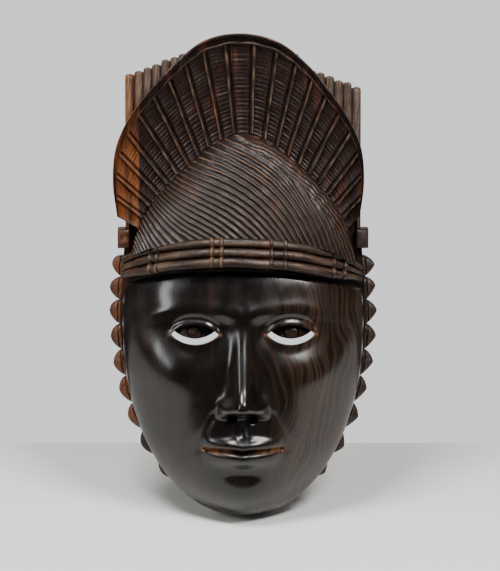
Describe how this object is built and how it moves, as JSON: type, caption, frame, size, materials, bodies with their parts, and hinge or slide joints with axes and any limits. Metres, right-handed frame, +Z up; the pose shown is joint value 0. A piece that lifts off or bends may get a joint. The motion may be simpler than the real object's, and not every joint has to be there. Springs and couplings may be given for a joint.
{
  "type": "carved wooden wall mask",
  "caption": "Hollow carved ebony wall mask with a ridged cap, corded headband, ribbed fan crest, reeded hair and scalloped fringe, with a hanging ring behind.",
  "frame": {"origin": "on the flat back that rests on the wall, on the middle line, level with the front of the headband's lower edge", "axes": "+Z up along the mask's height, +Y into the wall, +X to the viewer's right; the face looks along -Y"},
  "size_m": [0.169, 0.0672, 0.3058],
  "materials": {
    "polished_ebony": "polished",
    "carved_ebony": "matt, waxed",
    "sapwood": "matt, waxed",
    "dry_heartwood": "unpolished",
    "plated_steel": "zinc plated"
  },
  "bodies": {
    "mask": {"backboard": "carved_ebony", "face_shell": "polished_ebony", "left_eye": "dry_heartwood", "right_eye": "dry_heartwood", "band_core": "carved_ebony", "band_cord_lower": "carved_ebony", "band_cord_middle": "carved_ebony", "band_cord_upper": "carved_ebony", "band_tie_1": "carved_ebony", "band_tie_2": "carved_ebony", "band_tie_3": "carved_ebony", "band_tie_4": "carved_ebony", "band_tie_5": "carved_ebony", "band_tie_6": "carved_ebony", "band_tie_7": "carved_ebony", "band_tie_8": "carved_ebony", "cap": "carved_ebony", "crest": "carved_ebony", "crest_rim": "carved_ebony", "crest_ribs": "carved_ebony", "left_reeds": "dry_heartwood", "right_reeds": "dry_heartwood", "left_lug": "sapwood", "right_lug": "carved_ebony", "left_scallop_1": "sapwood", "left_scallop_2": "sapwood", "left_scallop_3": "sapwood", "left_scallop_4": "sapwood", "left_scallop_5": "sapwood", "left_scallop_6": "sapwood", "left_scallop_7": "sapwood", "left_scallop_8": "sapwood", "left_scallop_9": "sapwood", "left_scallop_10": "sapwood", "left_scallop_11": "sapwood", "right_scallop_1": "carved_ebony", "right_scallop_2": "carved_ebony", "right_scallop_3": "carved_ebony", "right_scallop_4": "carved_ebony", "right_scallop_5": "carved_ebony", "right_scallop_6": "carved_ebony", "right_scallop_7": "carved_ebony", "right_scallop_8": "carved_ebony", "right_scallop_9": "carved_ebony", "right_scallop_10": "carved_ebony", "right_scallop_11": "carved_ebony", "hanger_strap": "plated_steel", "hanger_screws": "plated_steel"},
    "ring": {"hanging_ring": "plated_steel"}
  },
  "joints": [
    {"name": "ring_swing", "type": "hinge", "parent": "mask", "child": "ring", "pos_m": [0, -0.00492, 0.096], "axis": [1, 0, 0], "range_deg": [0, 178]}
  ]
}
